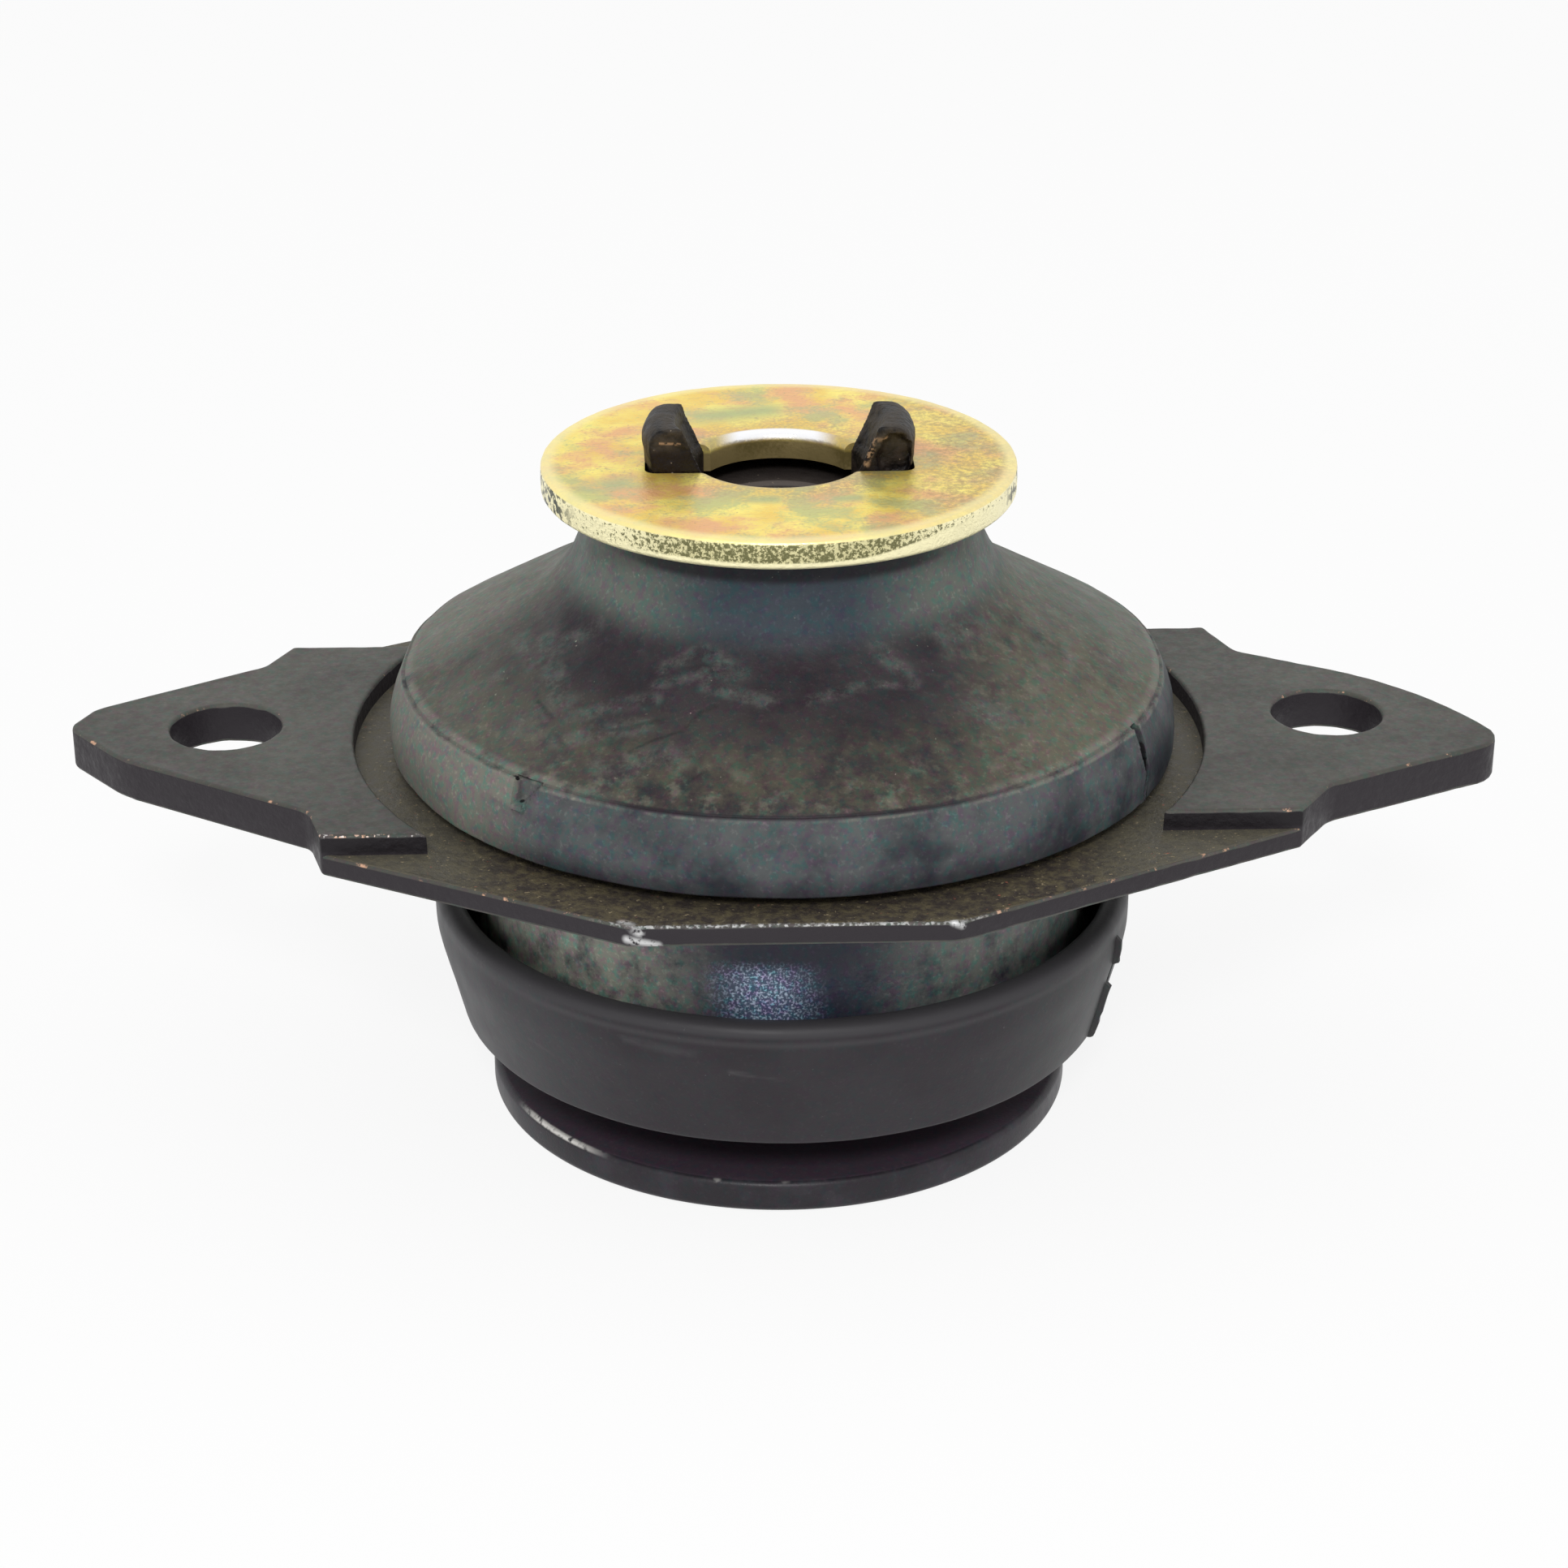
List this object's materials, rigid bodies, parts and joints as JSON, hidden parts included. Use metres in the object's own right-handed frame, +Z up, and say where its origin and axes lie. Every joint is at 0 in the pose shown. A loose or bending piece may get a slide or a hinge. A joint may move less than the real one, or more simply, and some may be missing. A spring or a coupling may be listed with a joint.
{
  "type": "transmission mount",
  "caption": "Bonded rubber transmission mount with a stepped steel flange, a lugged core, a gold plated washer, a rubber rebound cup and a steel foot disc",
  "frame": {"origin": "middle of the foot disc's underside, on the axis of the centre bore", "axes": "+X through the two flange bolts, +Z up along the centre bore to the plated washer, the front seen in the picture is -Y"},
  "size_m": [0.1525, 0.0875, 0.077],
  "materials": {
    "disc_steel": "satin",
    "cup_rubber": "satin",
    "core_steel": "satin",
    "flange_paint": "satin",
    "block_rubber": "matte",
    "zinc_plate": "satin"
  },
  "bodies": {
    "root": {"bottom_disc": "disc_steel", "rebound_cup": "cup_rubber", "inner_core": "core_steel", "flange_plate": "flange_paint", "rubber_block": "block_rubber", "top_washer": "zinc_plate"}
  },
  "joints": []
}
